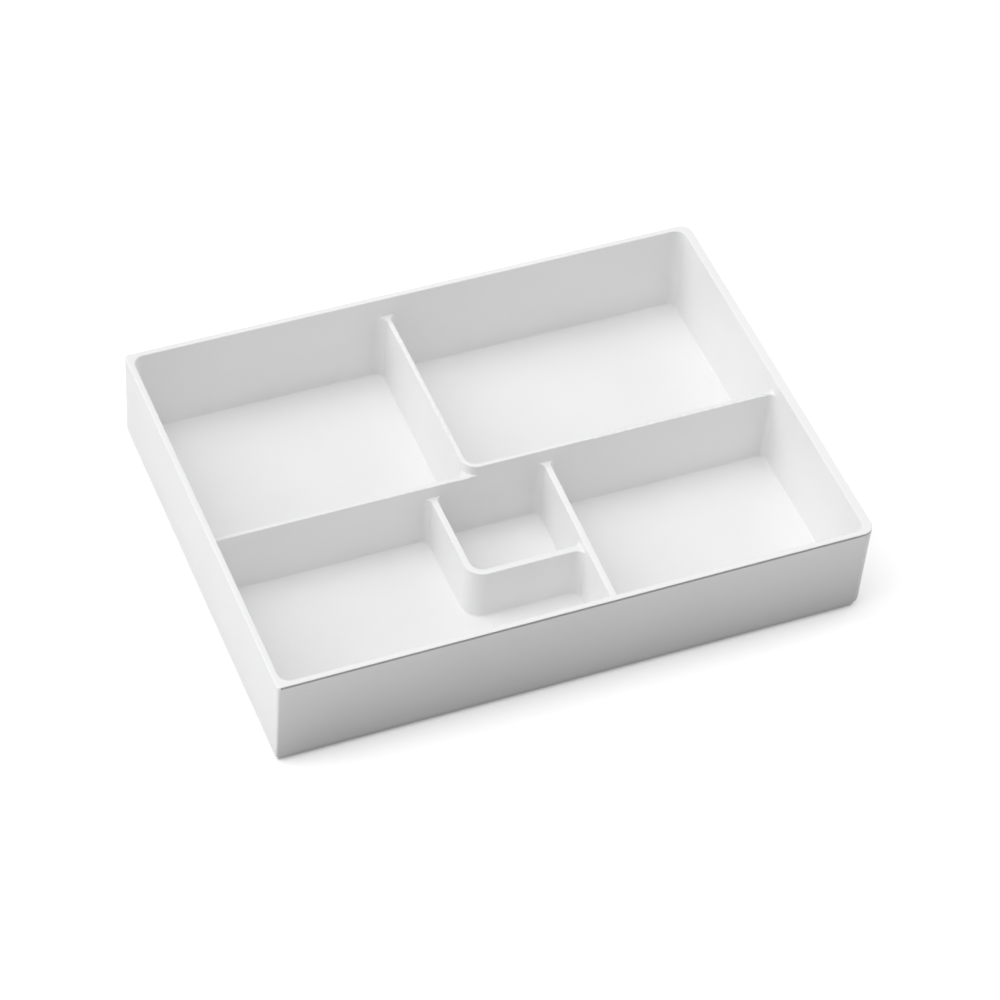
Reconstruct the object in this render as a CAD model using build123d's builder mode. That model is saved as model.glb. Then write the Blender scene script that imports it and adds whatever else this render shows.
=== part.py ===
from build123d import *
from math import radians, tan
import os

# Shallow moulded five-compartment tray on four non-slip pads.
# Millimetres. X to the right along the long side, Y to the rear, Z up.
# Origin: centre of the footprint, on the standing plane (underside of the pads).

os.makedirs("parts", exist_ok=True)

# ---------------------------------------------------------------- overall
width = 300.0            # X, over the rim
depth = 222.5            # Y, over the rim
height = 54.0            # Z, standing plane to rim

# ---------------------------------------------------------------- shell
rim_t = 3.0              # wall thickness at the rim: front, rear and left
rim_right = 4.6          # wall thickness at the rim: right
corner_out = 6.2         # outer vertical corner radius at the rim, right-hand corners
corner_left = 1.6        # outer vertical corner radius at the rim, left-hand corners
corner_in = 5.4          # inner vertical corner radius at the rim
draft = 0.55             # outer and inner wall draft, degrees
base_gap = 0.5           # underside of the moulding above the standing plane
step_z = 3.6             # top of the inset base step
step_in = 1.35           # inset of the base step from the foot of the wall
floor_z = 2.3            # top of the floor

# ---------------------------------------------------------------- rim groove
groove_top = 53.55       # the narrow groove under the front rim, upper side
groove_low = 52.20       # lower side
groove_in = 1.5          # depth into the front wall
groove_from = 1.8        # its left end, from the left side of the rim
groove_turn = 7.6        # how far it runs back round the right-hand corner

# ---------------------------------------------------------------- dividers
# plan positions measured from the front-left corner of the rim rectangle
cross_front = 105.2      # front face of the cross divider
cross_t = 2.3            # thickness of the cross divider and the rear divider
cross_hi = 46.2          # top of the right-hand part of the cross divider
cross_lo = 40.2          # top of the left-hand part of the cross divider
rear_div_xf = 134.9      # right face of the rear divider at the cross divider
rear_div_xr = 136.7      # right face of the rear divider at the rear wall
rear_div_end = 42.3      # its top at the rear wall (it falls from cross_hi)
rear_corner = 8.4        # outer radius where the rear divider turns right
cell_t = 3.3             # thickness of the small cell's walls
cell_top = 32.5          # top of the small cell's left and front walls
cell_left = 114.9        # left face of the small cell's left wall
cell_front = 51.2        # front face of the small cell's front wall
cell_corner = 9.3        # outer corner radius of the small cell
long_xr = 176.6          # right face of the long divider at the cross divider
long_xf = 174.7          # right face of the long divider at the front wall
long_top_r = 37.8        # its top at the cross divider
long_top_f = 35.8        # its top at the front wall
div_draft = 0.35         # divider draft per side, degrees

# ---------------------------------------------------------------- blends
blend_wall = 3.0         # vertical blends, cross divider to side walls
blend_rear = 1.6         # the same at the rear of its right-hand end
blend_div = 3.2          # vertical blends at the other divider junctions
floor_r = 1.0            # floor to wall blend
rim_r_out = 0.8          # outer rim edge
rim_r_in = 0.6           # inner rim edge
foot_r = 0.7             # foot of the outer wall, over the base step
under_r = 0.35           # edge of the underside

# ---------------------------------------------------------------- pads
pad_d = 12.0             # non-slip pad diameter
pad_h = 1.0              # pad thickness
pad_edge = 0.3           # pad lower edge radius
seat_d = 12.4            # seat diameter in the underside
pad_in_x = 24.0          # pad centre from the side of the rim
pad_in_y = 22.0          # pad centre from the front or rear of the rim

x0 = -width / 2.0
y0 = -depth / 2.0
eps = 0.6                # how far the dividers run into the walls
pad_points = [(x0 + pad_in_x, y0 + pad_in_y), (-x0 - pad_in_x, y0 + pad_in_y),
              (x0 + pad_in_x, -y0 - pad_in_y), (-x0 - pad_in_x, -y0 - pad_in_y)]


def px(x):
    return x0 + x


def py(y):
    return y0 + y


def outline(w, d, r_left, r_right):
    """Rectangle in the current sketch with its own corner radius on each hand."""
    with BuildSketch(mode=Mode.PRIVATE) as sk:
        Rectangle(w, d)
        fillet([v for v in sk.vertices() if v.X < 0], r_left)
        fillet([v for v in sk.vertices() if v.X > w / 2 - 0.1], r_right)
    add(sk.sketch)


def widen(dz):
    """Growth per side of a divider dz below its reference top."""
    return dz * tan(radians(div_draft))


def prism(points, z_top, z_low, corners=()):
    """Solid from plan points at z_top down to z_low, widening with the draft.
    corners: (x, y, radius) plan corners to round."""
    with BuildPart() as p:
        with BuildSketch(Plane.XY.offset(z_top)) as sk:
            with BuildLine():
                Polyline(*[(px(a), py(b)) for a, b in points], close=True)
            make_face()
            for cx, cy, r in corners:
                v = sk.vertices().sort_by_distance((px(cx), py(cy), z_top))[0]
                fillet(v, r)
        extrude(amount=-(z_top - z_low), taper=-div_draft)
    return p.part


def slope_cutter(ya, za, yb, zb, xa, xb, y_lo, y_hi):
    """Block above the sloping line (ya, za) to (yb, zb), between xa and xb."""
    def z(y):
        return za + (zb - za) * (y - ya) / (yb - ya)
    with BuildPart() as p:
        with BuildSketch(Plane.YZ.offset(px(xa))):
            with BuildLine():
                Polyline((py(y_lo), z(y_lo)), (py(y_hi), z(y_hi)),
                         (py(y_hi), height + 4), (py(y_lo), height + 4), close=True)
            make_face()
        extrude(amount=xb - xa)
    return p.part


def upright_at(part, x, y, reach=2.6):
    """The longest near-vertical edge whose foot and head stand close to (x, y)."""
    best = None
    for e in part.edges():
        b = e.bounding_box()
        if b.size.Z < 6 or b.size.X > 1.5 or b.size.Y > 1.5:
            continue
        c = b.center()
        d = ((c.X - px(x)) ** 2 + (c.Y - py(y)) ** 2) ** 0.5
        if d < reach and (best is None or b.size.Z > best.bounding_box().size.Z):
            best = e
    return best


foot_z = floor_z - 0.4

# rear divider turning into the right-hand part of the cross divider
hook = prism(
    [(rear_div_xf - cross_t, cross_front), (width - rim_right + eps, cross_front),
     (width - rim_right + eps, cross_front + cross_t), (rear_div_xf, cross_front + cross_t),
     (rear_div_xr, depth - rim_t + eps), (rear_div_xr - cross_t, depth - rim_t + eps)],
    cross_hi, foot_z,
    [(rear_div_xf - cross_t, cross_front, rear_corner),
     (rear_div_xf, cross_front + cross_t, rear_corner - cross_t)])
y_bend = cross_front + rear_corner + 5.0
hook = hook - slope_cutter(y_bend, cross_hi, depth - rim_t, rear_div_end,
                           rear_div_xf - 12, rear_div_xr + 6, y_bend, depth + 1)

# left-hand part of the cross divider, faces in line with the right-hand part
g = widen(cross_hi - cross_lo)
cross_left = prism(
    [(rim_t - eps, cross_front - g), (rear_div_xf + 9.0, cross_front - g),
     (rear_div_xf + 9.0, cross_front + cross_t + g), (rim_t - eps, cross_front + cross_t + g)],
    cross_lo, foot_z)

# long divider of the front half
long_div = prism(
    [(long_xf - cell_t, rim_t - eps), (long_xf, rim_t - eps),
     (long_xr, cross_front + 1.0), (long_xr - cell_t, cross_front + 1.0)],
    long_top_r, foot_z)
long_div = long_div - slope_cutter(cross_front, long_top_r, rim_t, long_top_f,
                                   long_xf - 8, long_xr + 8, 0, cross_front + 3)

# small cell: left wall turning into its front wall
cell_back = cross_front + 1.0
cell = prism(
    [(cell_left, cell_front), (long_xf - 0.6, cell_front),
     (long_xf - 0.6, cell_front + cell_t), (cell_left + cell_t, cell_front + cell_t),
     (cell_left + cell_t, cell_back), (cell_left, cell_back)],
    cell_top, foot_z,
    [(cell_left, cell_front, cell_corner),
     (cell_left + cell_t, cell_front + cell_t, cell_corner - cell_t)])

# ================================================================= tray
with BuildPart() as tray:
    # tapered outer body
    with BuildSketch(Plane.XY.offset(height)):
        outline(width, depth, corner_left, corner_out)
    extrude(amount=-(height - step_z), taper=draft)

    # inset base step
    foot_x = width - 2 * (height - step_z) * tan(radians(draft)) - 2 * step_in
    foot_y = depth - 2 * (height - step_z) * tan(radians(draft)) - 2 * step_in
    with BuildSketch(Plane.XY.offset(base_gap)):
        outline(foot_x, foot_y, corner_left - 0.9, corner_out - 1.6)
    extrude(amount=step_z - base_gap + 0.2)

    # open interior
    with BuildSketch(Plane.XY.offset(height)):
        with Locations(((rim_t - rim_right) / 2, 0)):
            RectangleRounded(width - rim_t - rim_right, depth - 2 * rim_t, corner_in)
    extrude(amount=-(height - floor_z), taper=draft, mode=Mode.SUBTRACT)

    # dividers, one moulding with the shell
    add(hook)
    add(cross_left)
    add(long_div)
    add(cell)

    # vertical blends at the junctions
    m = rim_t
    for jx, jy, r in [
        (m, cross_front, blend_wall), (m, cross_front + cross_t, blend_wall),
        (width - rim_right, cross_front, blend_wall),
        (width - rim_right, cross_front + cross_t, blend_rear),
        (rear_div_xr - cross_t, depth - m, 4.0), (rear_div_xr, depth - m, 5.0),
        (rear_div_xf - cross_t, cross_front + cross_t, 4.0),
        (cell_left, cross_front, blend_div), (cell_left + cell_t, cross_front, blend_div),
        (long_xr - cell_t, cross_front, blend_div), (long_xr, cross_front, blend_div),
        (long_xf - cell_t + 0.9, cell_front, 4.0), (long_xf - cell_t + 1.0, cell_front + cell_t, 4.0),
        (long_xf - cell_t, m, blend_div), (long_xf, m, blend_div),
    ]:
        e = upright_at(tray, jx, jy)
        fillet(e, r)

    # floor to wall blends in every compartment
    floor_edges = [e for e in tray.edges()
                   if abs(e.bounding_box().min.Z - floor_z) < 0.02
                   and abs(e.bounding_box().max.Z - floor_z) < 0.02]
    fillet(floor_edges, floor_r)

    # rim: rounded outer and inner edges
    rim_edges = [e for e in tray.edges() if e.bounding_box().min.Z > height - 0.01]
    outer = [e for e in rim_edges
             if abs(e.center().X) > width / 2 - 2.2 or abs(e.center().Y) > depth / 2 - 2.2]
    fillet(outer, rim_r_out)
    rim_edges = [e for e in tray.edges() if e.bounding_box().min.Z > height - 0.01]
    inner = [e for e in rim_edges
             if e.bounding_box().max.X < width / 2 - rim_right + 0.2
             and e.bounding_box().min.X > -width / 2 + rim_t - 0.2
             and e.bounding_box().max.Y < depth / 2 - rim_t + 0.2
             and e.bounding_box().min.Y > -depth / 2 + rim_t - 0.2]
    fillet(inner, rim_r_in)

    # narrow groove under the rim of the front face, round to the right-hand corner
    with BuildPart(mode=Mode.PRIVATE) as band:
        with BuildSketch(Plane.XY.offset(groove_low)):
            with Locations((x0 + groove_from, y0 + groove_turn)):
                Rectangle(width + 4.0, groove_turn + 4.0, align=(Align.MIN, Align.MAX))
        extrude(amount=groove_top - groove_low)
    with BuildPart(mode=Mode.PRIVATE) as core:
        with BuildSketch(Plane.XY.offset(groove_low - 1)):
            outline(width - 2 * groove_in, depth - 2 * groove_in,
                    0.5, corner_out - groove_in)
        extrude(amount=groove_top - groove_low + 2)
    add(band.part - core.part, mode=Mode.SUBTRACT)

    # foot of the wall over the base step, and the edge of the underside
    foot = [e for e in tray.edges()
            if abs(e.bounding_box().min.Z - step_z) < 0.02
            and abs(e.bounding_box().max.Z - step_z) < 0.02
            and (abs(e.center().X) > foot_x / 2 + 0.6 or abs(e.center().Y) > foot_y / 2 + 0.6)]
    fillet(foot, foot_r)
    under = [e for e in tray.edges() if e.bounding_box().max.Z < base_gap + 0.02]
    fillet(under, under_r)

    # seats for the pads
    with BuildSketch(Plane.XY.offset(base_gap)):
        with Locations(*pad_points):
            Circle(seat_d / 2)
    extrude(amount=pad_h - base_gap, mode=Mode.SUBTRACT)

tray.part.label = "tray"
export_step(tray.part, "parts/tray.step")

# ================================================================= pads
with BuildPart() as foot_pad_front_left:
    with BuildSketch():
        with Locations(pad_points[0]):
            Circle(pad_d / 2)
    extrude(amount=pad_h)
    fillet(foot_pad_front_left.edges().group_by(Axis.Z)[0], pad_edge)
foot_pad_front_left.part.label = "foot_pad_front_left"
export_step(foot_pad_front_left.part, "parts/foot_pad_front_left.step")

with BuildPart() as foot_pad_front_right:
    with BuildSketch():
        with Locations(pad_points[1]):
            Circle(pad_d / 2)
    extrude(amount=pad_h)
    fillet(foot_pad_front_right.edges().group_by(Axis.Z)[0], pad_edge)
foot_pad_front_right.part.label = "foot_pad_front_right"
export_step(foot_pad_front_right.part, "parts/foot_pad_front_right.step")

with BuildPart() as foot_pad_rear_left:
    with BuildSketch():
        with Locations(pad_points[2]):
            Circle(pad_d / 2)
    extrude(amount=pad_h)
    fillet(foot_pad_rear_left.edges().group_by(Axis.Z)[0], pad_edge)
foot_pad_rear_left.part.label = "foot_pad_rear_left"
export_step(foot_pad_rear_left.part, "parts/foot_pad_rear_left.step")

with BuildPart() as foot_pad_rear_right:
    with BuildSketch():
        with Locations(pad_points[3]):
            Circle(pad_d / 2)
    extrude(amount=pad_h)
    fillet(foot_pad_rear_right.edges().group_by(Axis.Z)[0], pad_edge)
foot_pad_rear_right.part.label = "foot_pad_rear_right"
export_step(foot_pad_rear_right.part, "parts/foot_pad_rear_right.step")
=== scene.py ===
# Compartment tray in white moulded plastic on four rubber pads, on a pale floor under soft studio light.
import bpy
import bmesh
import math
from mathutils import Matrix, Vector
from mathutils.geometry import delaunay_2d_cdt


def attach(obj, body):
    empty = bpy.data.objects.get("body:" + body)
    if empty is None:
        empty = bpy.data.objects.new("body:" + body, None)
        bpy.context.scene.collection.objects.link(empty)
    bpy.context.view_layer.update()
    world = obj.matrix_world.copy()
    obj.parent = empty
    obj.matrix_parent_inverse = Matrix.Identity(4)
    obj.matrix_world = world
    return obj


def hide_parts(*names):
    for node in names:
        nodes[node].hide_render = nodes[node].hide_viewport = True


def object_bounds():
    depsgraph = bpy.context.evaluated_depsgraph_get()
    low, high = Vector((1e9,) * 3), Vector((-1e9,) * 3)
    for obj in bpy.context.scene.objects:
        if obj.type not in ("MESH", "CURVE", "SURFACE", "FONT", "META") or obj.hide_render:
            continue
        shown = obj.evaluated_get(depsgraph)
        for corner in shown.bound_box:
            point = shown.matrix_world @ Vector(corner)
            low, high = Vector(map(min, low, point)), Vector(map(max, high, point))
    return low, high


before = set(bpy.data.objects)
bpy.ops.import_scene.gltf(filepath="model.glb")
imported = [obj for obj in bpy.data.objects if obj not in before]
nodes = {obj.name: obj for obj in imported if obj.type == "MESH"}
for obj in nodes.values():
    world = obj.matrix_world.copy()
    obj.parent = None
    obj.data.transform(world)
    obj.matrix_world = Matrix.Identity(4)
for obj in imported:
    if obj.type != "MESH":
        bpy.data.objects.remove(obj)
cad_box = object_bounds()
scene = bpy.context.scene
scene.view_settings.view_transform = "Standard"

MM = 0.001
EDGE_R = 0.60 * MM          # rounding of the divider tops
GROOVE_PAINTED_SHADE = 0.80          # painted shade inside the rim groove, as a fraction of the shell colour
EDGE_STEPS = 5              # facets across that rounding
JUNCTION_STEP = 0.30 * MM   # spacing of points where a divider top meets a taller wall


# ------------------------------------------------------------------ node helpers
def new_material(name):
    m = bpy.data.materials.new(name)
    m.use_nodes = True
    nt = m.node_tree
    nt.nodes.clear()
    return m, nt, nt.nodes, nt.links


def noise(nt, coord, scale, detail, rough=0.5, dims="3D"):
    n = nt.nodes.new("ShaderNodeTexNoise")
    n.noise_dimensions = dims
    n.inputs["Scale"].default_value = scale
    n.inputs["Detail"].default_value = detail
    n.inputs["Roughness"].default_value = rough
    nt.links.new(coord, n.inputs["Vector"])
    return n


def ramp(nt, value, stops):
    r = nt.nodes.new("ShaderNodeValToRGB")
    while len(r.color_ramp.elements) > 1:
        r.color_ramp.elements.remove(r.color_ramp.elements[0])
    first = True
    for pos, col in stops:
        e = r.color_ramp.elements[0] if first else r.color_ramp.elements.new(pos)
        e.position = pos
        e.color = (*col, 1.0)
        first = False
    nt.links.new(value, r.inputs["Fac"])
    return r


def map_range(nt, value, a, b, lo, hi):
    r = nt.nodes.new("ShaderNodeMapRange")
    r.inputs["From Min"].default_value = a
    r.inputs["From Max"].default_value = b
    r.inputs["To Min"].default_value = lo
    r.inputs["To Max"].default_value = hi
    nt.links.new(value, r.inputs["Value"])
    return r


# ------------------------------------------------------------------ materials
def math_node(nt, kind, a, b):
    m = nt.nodes.new("ShaderNodeMath")
    m.operation = kind
    for socket, v in zip(m.inputs, (a, b)):
        if isinstance(v, float):
            socket.default_value = v
        else:
            nt.links.new(v, socket)
    return m.outputs[0]


def painted_groove_shade(nt, coord, inside):
    """Painted shade: 1 on the shell, `inside` within the narrow groove under the front rim, where it darkens the
    base colour (object space, metres).
    """
    xyz = nt.nodes.new("ShaderNodeSeparateXYZ")
    nt.links.new(coord, xyz.inputs["Vector"])
    x, y, z = xyz.outputs["X"], xyz.outputs["Y"], xyz.outputs["Z"]
    # distance past the groove's inner wall, which turns the right-hand corner on a 4.7 mm arc
    qx = math_node(nt, "MAXIMUM", math_node(nt, "SUBTRACT", x, 0.1438), 0.0)
    qy = math_node(nt, "MAXIMUM", math_node(nt, "SUBTRACT", -0.10505, y), 0.0)
    r2 = math_node(nt, "ADD", math_node(nt, "MULTIPLY", qx, qx), math_node(nt, "MULTIPLY", qy, qy))
    mask = math_node(nt, "GREATER_THAN", r2, 0.0046 ** 2)
    for kind, v, edge in [("GREATER_THAN", z, 0.05219), ("LESS_THAN", z, 0.05356),
                          ("GREATER_THAN", x, -0.1483), ("LESS_THAN", y, -0.1036)]:
        mask = math_node(nt, "MULTIPLY", mask, math_node(nt, kind, v, edge))
    return map_range(nt, mask, 0.0, 1.0, 1.0, inside).outputs["Result"]


def white_plastic():
    """Satin white ABS: faint tone drift, a very fine moulded texture and uneven gloss, with painted shade darkening
    the groove under the front rim.
    """
    m, nt, N, L = new_material("shell_white_abs")
    out = N.new("ShaderNodeOutputMaterial")
    b = N.new("ShaderNodeBsdfPrincipled")
    L.new(b.outputs["BSDF"], out.inputs["Surface"])
    coord = N.new("ShaderNodeTexCoord").outputs["Object"]
    drift = noise(nt, coord, 14.0, 3.0)
    tone = ramp(nt, drift.outputs["Fac"], [(0.30, (0.852, 0.852, 0.856)), (0.70, (0.878, 0.878, 0.880))])
    shade = N.new("ShaderNodeVectorMath")
    shade.operation = "SCALE"
    L.new(tone.outputs["Color"], shade.inputs[0])
    # painted shade: the base colour is darkened inside the groove under the front rim
    L.new(painted_groove_shade(nt, coord, GROOVE_PAINTED_SHADE), shade.inputs["Scale"])
    L.new(shade.outputs["Vector"], b.inputs["Base Color"])
    grain = noise(nt, coord, 2600.0, 2.0, 0.55)
    swirl = noise(nt, coord, 60.0, 4.0, 0.6)
    gloss = map_range(nt, swirl.outputs["Fac"], 0.3, 0.7, 0.30, 0.38)
    L.new(gloss.outputs["Result"], b.inputs["Roughness"])
    bump = N.new("ShaderNodeBump")
    bump.inputs["Strength"].default_value = 0.10
    bump.inputs["Distance"].default_value = 0.00006
    L.new(grain.outputs["Fac"], bump.inputs["Height"])
    wave = N.new("ShaderNodeBump")
    wave.inputs["Strength"].default_value = 0.05
    wave.inputs["Distance"].default_value = 0.0008
    L.new(swirl.outputs["Fac"], wave.inputs["Height"])
    L.new(bump.outputs["Normal"], wave.inputs["Normal"])
    L.new(wave.outputs["Normal"], b.inputs["Normal"])
    b.inputs["IOR"].default_value = 1.52
    b.inputs["Specular IOR Level"].default_value = 0.5
    return m


def grey_rubber():
    """Matt dark rubber with a fine open grain."""
    m, nt, N, L = new_material("pad_rubber")
    out = N.new("ShaderNodeOutputMaterial")
    b = N.new("ShaderNodeBsdfPrincipled")
    L.new(b.outputs["BSDF"], out.inputs["Surface"])
    coord = N.new("ShaderNodeTexCoord").outputs["Object"]
    n1 = noise(nt, coord, 900.0, 5.0, 0.6)
    tone = ramp(nt, n1.outputs["Fac"], [(0.25, (0.020, 0.020, 0.022)), (0.75, (0.048, 0.048, 0.050))])
    L.new(tone.outputs["Color"], b.inputs["Base Color"])
    r = map_range(nt, n1.outputs["Fac"], 0.2, 0.8, 0.66, 0.85)
    L.new(r.outputs["Result"], b.inputs["Roughness"])
    bump = N.new("ShaderNodeBump")
    bump.inputs["Strength"].default_value = 0.35
    bump.inputs["Distance"].default_value = 0.0001
    L.new(n1.outputs["Fac"], bump.inputs["Height"])
    L.new(bump.outputs["Normal"], b.inputs["Normal"])
    return m


def pale_floor(name, low, high, glow):
    m, nt, N, L = new_material(name)
    out = N.new("ShaderNodeOutputMaterial")
    b = N.new("ShaderNodeBsdfPrincipled")
    L.new(b.outputs["BSDF"], out.inputs["Surface"])
    coord = N.new("ShaderNodeTexCoord").outputs["Object"]
    n1 = noise(nt, coord, 3.0, 2.0)
    tone = ramp(nt, n1.outputs["Fac"], [(0.3, (low, low, low)), (0.7, (high, high, high))])
    L.new(tone.outputs["Color"], b.inputs["Base Color"])
    b.inputs["Roughness"].default_value = 1.0
    b.inputs["Specular IOR Level"].default_value = 0.0
    if glow:
        b.inputs["Emission Color"].default_value = (1.0, 1.0, 1.0, 1.0)
        b.inputs["Emission Strength"].default_value = glow
        m.cycles.emission_sampling = "NONE"
    return m


# ------------------------------------------------------------------ tray: finer mesh with rounded divider tops
def seg_dist(px, py, seg):
    ax, ay, bx, by = seg
    dx, dy = bx - ax, by - ay
    t = ((px - ax) * dx + (py - ay) * dy) / max(dx * dx + dy * dy, 1e-18)
    t = min(1.0, max(0.0, t))
    return math.hypot(px - ax - t * dx, py - ay - t * dy)


def in_poly(px, py, poly):
    inside = False
    j = len(poly) - 1
    for i in range(len(poly)):
        xi, yi = poly[i]
        xj, yj = poly[j]
        if (yi > py) != (yj > py) and px < (xj - xi) * (py - yi) / (yj - yi) + xi:
            inside = not inside
        j = i
    return inside


def fall(d):
    """How far the rounded top lies below the flat one, d in from a free edge."""
    if d >= EDGE_R:
        return 0.0
    return EDGE_R - math.sqrt(max(0.0, EDGE_R * EDGE_R - (EDGE_R - d) ** 2))


def finer_tray(src):
    bm = bmesh.new()
    bm.from_mesh(src.data)
    bmesh.ops.remove_doubles(bm, verts=bm.verts, dist=3e-6)
    # the walls of the rim groove keep the triangles they came with
    by_groove = {v for v in bm.verts if 0.0519 < v.co.z < 0.0538}
    bmesh.ops.dissolve_limit(bm, angle_limit=math.radians(0.25),
                             verts=[v for v in bm.verts if v not in by_groove],
                             edges=[e for e in bm.edges if not by_groove.issuperset(e.verts)])
    bm.normal_update()
    low, high = 0.026, 0.050
    tops = [f for f in bm.faces if f.normal.z > 0.995 and low < f.calc_center_median().z < high]
    # one region per divider: faces joined across shared edges
    regions, seen = [], set()
    for f in tops:
        if f in seen:
            continue
        group, stack = [], [f]
        seen.add(f)
        while stack:
            g = stack.pop()
            group.append(g)
            for e in g.edges:
                for h in e.link_faces:
                    if h in tops and h not in seen:
                        seen.add(h)
                        stack.append(h)
        regions.append(group)
    print("divider top regions", [(len(g), [round(f.calc_center_median().z * 1000, 2) for f in g]) for g in regions])
    for group in regions:
        planes = [(f.normal.copy(), f.verts[0].co.copy()) for f in group]

        def height(x, y, planes=planes):
            return min(p.z - (n.x * (x - p.x) + n.y * (y - p.y)) / n.z for n, p in planes)

        gset = set(group)
        rim = [e for f in group for e in f.edges if sum(1 for h in e.link_faces if h in gset) == 1]
        free, joined = [], []
        for e in rim:
            inner = next(f for f in e.link_faces if f in gset)
            other = [f for f in e.link_faces if f not in gset]
            mid = (e.verts[0].co + e.verts[1].co) / 2
            loop = next(l for l in inner.loops if l.edge == e)
            along = loop.link_loop_next.vert.co - loop.vert.co
            outward = Vector((along.y, -along.x, 0)).normalized()
            if other and other[0].normal.dot(outward) > 0.3:
                free.append(e)
            else:
                joined.append(e)
        segs = [(e.verts[0].co.x, e.verts[0].co.y, e.verts[1].co.x, e.verts[1].co.y) for e in free]
        print("  free", len(free), "joined", len(joined))
        # points along the joined edges, shared with the taller wall
        for e in joined:
            n = int(e.calc_length() / JUNCTION_STEP)
            if n > 1:
                bmesh.ops.subdivide_edges(bm, edges=[e], cuts=n - 1, use_grid_fill=False, use_only_quads=False)
        # the faces of the group may have been rebuilt by the subdivision: find them again
        bm.normal_update()
        group = [f for f in bm.faces if f.normal.z > 0.995 and any(
            abs((f.calc_center_median() - p).dot(n)) < 2e-6 for n, p in planes)
            and low < f.calc_center_median().z < high]
        gset = set(group)
        edges = [e for f in group for e in f.edges if sum(1 for h in e.link_faces if h in gset) == 1]
        ends = {}
        for f in group:
            for l in f.loops:
                if l.edge in edges:
                    ends[l.vert] = l.link_loop_next.vert
        start = next(iter(ends))
        ring, v = [start], ends[start]
        while v != start:
            ring.append(v)
            v = ends[v]
        assert len(ring) == len(ends), "a divider top has more than one outline"
        poly = [(v.co.x, v.co.y) for v in ring]
        bmesh.ops.delete(bm, geom=group, context="FACES_ONLY")
        # edges inside the region (between its planar parts) are left loose: remove them
        loose = [e for e in bm.edges if not e.link_faces]
        if loose:
            bmesh.ops.delete(bm, geom=loose, context="EDGES")

        def dist(x, y):
            return min(seg_dist(x, y, s) for s in segs)

        free_pts = set()
        for s in segs:
            free_pts.add((round(s[0], 8), round(s[1], 8)))
            free_pts.add((round(s[2], 8), round(s[3], 8)))
        # rows of points inside, parallel to the free edges
        pts = [Vector(p) for p in poly]
        count = len(ring)
        extra = []
        rows = [EDGE_R * (1 - math.cos(math.radians(90.0 * k / EDGE_STEPS))) for k in range(1, EDGE_STEPS + 1)]

        def try_point(x, y, want, tol):
            if not in_poly(x, y, poly):
                return
            if abs(dist(x, y) - want) > tol:
                return
            edge_gap = min(seg_dist(x, y, (*poly[i], *poly[(i + 1) % count])) for i in range(count))
            if edge_gap < want * 0.35:
                return
            extra.append(Vector((x, y)))

        for i in range(count):
            ax, ay = poly[i - 1]
            bx, by = poly[i]
            cx, cy = poly[(i + 1) % count]
            if (round(bx, 8), round(by, 8)) not in free_pts:
                continue
            d1 = Vector((bx - ax, by - ay)).normalized()
            d2 = Vector((cx - bx, cy - by)).normalized()
            n1, n2 = Vector((-d1.y, d1.x)), Vector((-d2.y, d2.x))
            if d1.dot(d2) < 0.5:
                continue
            m = (n1 + n2).normalized()
            m = m / max(0.5, m.dot(n1))
            for r in rows:
                try_point(bx + m.x * r, by + m.y * r, r, 0.12 * r + 1e-6)
        # long straight free edges get a few more points, so the rows stay parallel to them
        for ax, ay, bx, by in segs:
            length = math.hypot(bx - ax, by - ay)
            k = int(length / 0.006)
            d = Vector((bx - ax, by - ay)).normalized()
            for side in (1, -1):
                n = Vector((-d.y, d.x)) * side
                for j in range(1, k + 1):
                    t = j / (k + 1)
                    for r in rows:
                        try_point(ax + (bx - ax) * t + n.x * r, ay + (by - ay) * t + n.y * r, r, 0.02 * r + 1e-7)
        # drop near duplicates
        kept, grid = [], {}
        for p in extra:
            key = (round(p.x / 3e-5), round(p.y / 3e-5))
            if key in grid:
                continue
            grid[key] = 1
            kept.append(p)
        verts2 = pts + kept
        out_v, _, out_f, orig_v, _, _ = delaunay_2d_cdt(verts2, [], [list(range(count))], 1, 1e-9)
        made = []
        for k, co in enumerate(out_v):
            src_ids = [o for o in orig_v[k] if o < count]
            if src_ids:
                v = ring[src_ids[0]]
            else:
                v = bm.verts.new((co.x, co.y, 0.0))
            v.co.z = height(co.x, co.y) - fall(dist(co.x, co.y))
            made.append(v)
        for f in out_f:
            vs = [made[i] for i in f]
            if len(set(vs)) < 3:
                continue
            a, b, c = vs[0].co, vs[1].co, vs[2].co
            if (b.x - a.x) * (c.y - a.y) - (b.y - a.y) * (c.x - a.x) < 0:
                vs.reverse()
            try:
                bm.faces.new(vs)
            except ValueError:
                pass
    bm.normal_update()
    bmesh.ops.triangulate(bm, faces=[f for f in bm.faces if len(f.verts) > 4], ngon_method="EAR_CLIP")
    bad = [e for e in bm.edges if len(e.link_faces) != 2]
    print("open or shared edges", len(bad), "faces", len(bm.faces), "verts", len(bm.verts))
    for e in bm.edges:
        e.smooth = len(e.link_faces) != 2 or e.calc_face_angle(0.0) < math.radians(32)
    me = bpy.data.meshes.new("tray_moulding")
    bm.to_mesh(me)
    bm.free()
    for p in me.polygons:
        p.use_smooth = True
    ob = bpy.data.objects.new("tray_moulding", me)
    scene.collection.objects.link(ob)
    wn = ob.modifiers.new("even_normals", "WEIGHTED_NORMAL")
    wn.keep_sharp = True
    wn.weight = 60
    return ob


shell_mat = white_plastic()
pad_mat = grey_rubber()

tray = finer_tray(nodes["tray"])
tray.data.materials.append(shell_mat)
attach(tray, "root")
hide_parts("tray")

for name, ob in nodes.items():
    mat = shell_mat if name == "tray" else pad_mat
    ob.data.materials.clear()
    ob.data.materials.append(mat)

# ------------------------------------------------------------------ studio
lo, hi = cad_box
FLOOR_GLOW = 0.17


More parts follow.
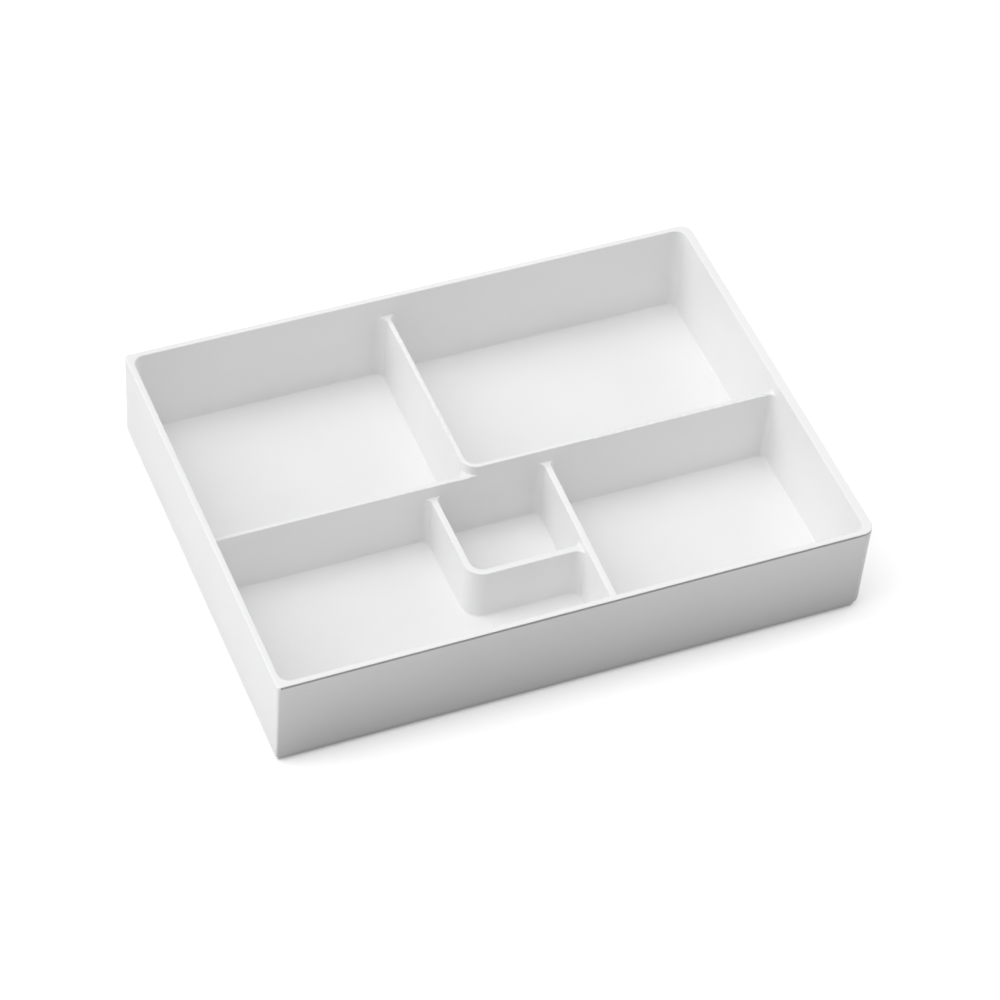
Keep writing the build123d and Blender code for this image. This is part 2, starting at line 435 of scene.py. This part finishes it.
def floor_plane(name, z, material):
    s = 15.0
    me = bpy.data.meshes.new(name)
    cx, cy = (lo.x + hi.x) / 2, (lo.y + hi.y) / 2
    me.from_pydata([(cx - s, cy - s, z), (cx + s, cy - s, z), (cx + s, cy + s, z), (cx - s, cy + s, z)], [], [(0, 1, 2, 3)])
    ob = bpy.data.objects.new(name, me)
    scene.collection.objects.link(ob)
    me.materials.append(material)
    return ob


# the floor that is seen, and under it a greyer one that sets how much light comes back up to the object
def backdrop_only(ob):
    ob.visible_diffuse = False
    ob.visible_glossy = False
    ob.visible_transmission = False
    ob.visible_shadow = False


floor = floor_plane("studio_floor", lo.z, pale_floor("studio_floor", 0.935, 0.945, FLOOR_GLOW))
backdrop_only(floor)


def bounce_material():
    """Grey card under the floor, with painted shadow and light: darker close in front of the object, as under its
    cast shadow, and paler to its left and right.
    """
    m, nt, N, L = new_material("studio_bounce")
    out = N.new("ShaderNodeOutputMaterial")
    b = N.new("ShaderNodeBsdfDiffuse")
    L.new(b.outputs["BSDF"], out.inputs["Surface"])
    xyz = N.new("ShaderNodeSeparateXYZ")
    L.new(N.new("ShaderNodeTexCoord").outputs["Object"], xyz.inputs["Vector"])
    # painted shadow: a band close in front of the object is darkened; painted light: the card grows paler towards
    # the right
    ahead = map_range(nt, xyz.outputs["Y"], lo.y + 0.006, lo.y - 0.002, 0.0, 1.0)
    near = map_range(nt, xyz.outputs["Y"], lo.y, lo.y - 0.095, 1.0, 0.0)
    beside = map_range(nt, xyz.outputs["X"], lo.x - 0.03, lo.x + 0.01, 0.0, 1.0)
    a = N.new("ShaderNodeMath")
    a.operation = "MULTIPLY"
    L.new(ahead.outputs["Result"], a.inputs[0])
    L.new(near.outputs["Result"], a.inputs[1])
    dark = N.new("ShaderNodeMath")
    dark.operation = "MULTIPLY"
    L.new(a.outputs[0], dark.inputs[0])
    L.new(beside.outputs["Result"], dark.inputs[1])
    level = map_range(nt, dark.outputs[0], 0.0, 1.0, 1.0, 0.04)
    side = map_range(nt, beside.outputs["Result"], 0.0, 1.0, 0.80, 0.60)
    right = map_range(nt, xyz.outputs["X"], lo.x + 0.06, hi.x + 0.08, 0.0, 0.24)
    add = N.new("ShaderNodeMath")
    add.operation = "ADD"
    L.new(side.outputs["Result"], add.inputs[0])
    L.new(right.outputs["Result"], add.inputs[1])
    mul = N.new("ShaderNodeMath")
    mul.operation = "MULTIPLY"
    L.new(level.outputs["Result"], mul.inputs[0])
    L.new(add.outputs[0], mul.inputs[1])
    tone = ramp(nt, mul.outputs[0], [(0.0, (0.0, 0.0, 0.0)), (1.0, (1.0, 1.0, 1.0))])
    L.new(tone.outputs["Color"], b.inputs["Color"])
    return m


bounce = floor_plane("studio_bounce", lo.z - 0.0002, bounce_material())
bounce.visible_camera = False

# plain white dome behind everything, seen only in low views
dome_bm = bmesh.new()
bmesh.ops.create_uvsphere(dome_bm, u_segments=48, v_segments=24, radius=12.0)
dome_mesh = bpy.data.meshes.new("studio_backdrop")
dome_bm.to_mesh(dome_mesh)
dome_bm.free()
dome = bpy.data.objects.new("studio_backdrop", dome_mesh)
scene.collection.objects.link(dome)
dm, dnt, DN, DL = new_material("studio_backdrop")
d_out = DN.new("ShaderNodeOutputMaterial")
d_em = DN.new("ShaderNodeEmission")
d_em.inputs["Color"].default_value = (1.0, 1.0, 1.0, 1.0)
d_em.inputs["Strength"].default_value = 1.0
DL.new(d_em.outputs["Emission"], d_out.inputs["Surface"])
dm.cycles.emission_sampling = "NONE"
dome_mesh.materials.append(dm)
backdrop_only(dome)

# soft light from all round, strongest from above and the left, weak from the front and rear
world = bpy.data.worlds.new("studio")
scene.world = world
world.use_nodes = True
wt = world.node_tree
wt.nodes.clear()
w_out = wt.nodes.new("ShaderNodeOutputWorld")
bg = wt.nodes.new("ShaderNodeBackground")
wt.links.new(bg.outputs["Background"], w_out.inputs["Surface"])
wco = wt.nodes.new("ShaderNodeTexCoord").outputs["Generated"]


def lobe(direction, power, gain):
    d = wt.nodes.new("ShaderNodeVectorMath")
    d.operation = "DOT_PRODUCT"
    wt.links.new(wco, d.inputs[0])
    d.inputs[1].default_value = Vector(direction).normalized()
    a = wt.nodes.new("ShaderNodeMath")
    a.operation = "MAXIMUM"
    a.inputs[1].default_value = 0.0
    wt.links.new(d.outputs["Value"], a.inputs[0])
    b = wt.nodes.new("ShaderNodeMath")
    b.operation = "POWER"
    b.inputs[1].default_value = power
    wt.links.new(a.outputs[0], b.inputs[0])
    c = wt.nodes.new("ShaderNodeMath")
    c.operation = "MULTIPLY"
    c.inputs[1].default_value = gain
    wt.links.new(b.outputs[0], c.inputs[0])
    return c.outputs[0]


def plus(a, b):
    s = wt.nodes.new("ShaderNodeMath")
    s.operation = "ADD"
    wt.links.new(a, s.inputs[0])
    if isinstance(b, float):
        s.inputs[1].default_value = b
    else:
        wt.links.new(b, s.inputs[1])
    return s.outputs[0]


LOBES = [
    ((-1.0, 0.0, 0.2), 3.0, 0.88),      # low, left
    ((-1.0, 0.1, 0.45), 16.0, 1.27),    # left softbox
    ((-0.8, 0.3, 0.9), 16.0, 2.01),     # upper left softbox
    ((-0.2, 0.0, 1.0), 16.0, 3.36),     # overhead softbox
    ((1.0, 0.0, 0.2), 3.0, 1.38),       # low, right
    ((1.0, 0.0, 0.8), 3.0, 0.34),       # upper right
    ((0.0, -1.0, 0.3), 6.0, 0.53),      # weak, from the front
    ((0.0, 1.0, 0.8), 3.0, 0.08),       # weak, from the rear
]
total = lobe(*LOBES[0])
for l in LOBES[1:]:
    total = plus(total, lobe(*l))
total = plus(total, 0.027)
wt.links.new(total, bg.inputs["Strength"])
bg.inputs["Color"].default_value = (1.0, 1.0, 1.0, 1.0)

# ------------------------------------------------------------------ camera
RIGHT = Vector((0.9270377875, -0.3701072955, 0.0601791521))
UP = Vector((0.2344769104, 0.697427422, 0.6772116135))
FWD = Vector((0.2926115497, 0.6136901342, -0.7333231894))
cam_data = bpy.data.cameras.new("camera")
cam = bpy.data.objects.new("camera", cam_data)
scene.collection.objects.link(cam)
rot = Matrix((RIGHT, UP, -FWD)).transposed().to_4x4()
rot.translation = Vector((-536.6016, -1136.154, 1368.7234)) * MM
cam.matrix_world = rot
cam_data.sensor_width = 36.0
cam_data.lens = 136.6882
cam_data.clip_start = 0.05
cam_data.clip_end = 200.0
scene.camera = cam
